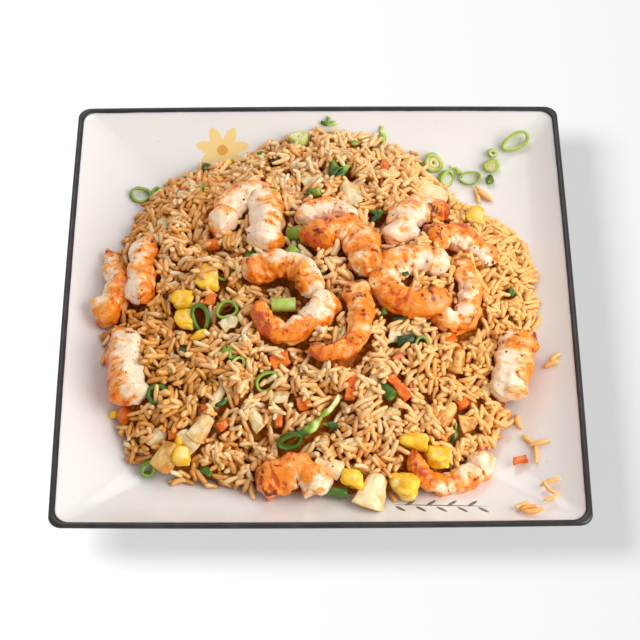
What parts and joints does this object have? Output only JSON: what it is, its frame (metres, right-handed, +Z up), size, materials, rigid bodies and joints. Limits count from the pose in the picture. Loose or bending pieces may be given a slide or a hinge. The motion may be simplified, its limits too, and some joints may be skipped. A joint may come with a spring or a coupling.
{
  "type": "shrimp fried rice on a square plate",
  "caption": "Low heap of fried rice with curled seared shrimp, egg, onion, carrot and spring onion on a square white plate with a dark rim.",
  "frame": {"origin": "middle of the plate's foot, on the surface that it stands on", "axes": "+Z up, +X to the plate's right and +Y to its back"},
  "size_m": [0.2514, 0.2514, 0.0543],
  "materials": {
    "porcelain": "white glaze with a dark charcoal line round the rim",
    "rice": "cooked long grains, tan to golden, lightly oiled",
    "shrimp": "cooked shrimp, white flesh with orange seared back",
    "egg": "soft scrambled egg, warm yellow",
    "onion": "cooked onion, pale and glossy",
    "spring_onion": "fresh cut green stalk, pale to dark green",
    "carrot": "cooked carrot, orange, lightly oiled"
  },
  "bodies": {
    "root": {"plate": "porcelain", "rice_heap": "rice", "shrimp_center_front": "shrimp", "shrimp_center_back": "shrimp", "shrimp_center_right_ring": "shrimp", "shrimp_right_hook": "shrimp", "shrimp_back_right_long": "shrimp", "shrimp_back_right_curl": "shrimp", "shrimp_center_bow": "shrimp", "shrimp_center_cup": "shrimp", "shrimp_center_left_crown": "shrimp", "shrimp_back_left_arch": "shrimp", "shrimp_left_upright": "shrimp", "shrimp_left_hook": "shrimp", "shrimp_front_left_thick": "shrimp", "shrimp_right_plump": "shrimp", "shrimp_front_right_tail": "shrimp", "shrimp_front_seared": "shrimp", "egg_left_upper": "egg", "egg_left_lower": "egg", "egg_left_pale": "egg", "egg_front_left": "egg", "egg_back_right": "egg", "egg_front_upper": "egg", "egg_front_right": "egg", "egg_front_large": "egg", "egg_front_amber": "egg", "onion_front_wedge": "onion", "onion_left_panel": "onion", "onion_left_fold": "onion", "onion_left_gold": "onion", "onion_front_slice": "onion", "onion_right_strip": "onion", "onion_right_round": "onion", "onion_back_fan": "onion", "onion_back_wide": "onion", "onion_right_amber": "onion", "spring_onion_cylinder": "spring_onion", "spring_onion_slice": "spring_onion", "carrot_dice_center": "carrot", "carrot_stick_left": "carrot", "carrot_stick_right": "carrot", "carrot_stick_plate": "carrot"}
  },
  "joints": []
}
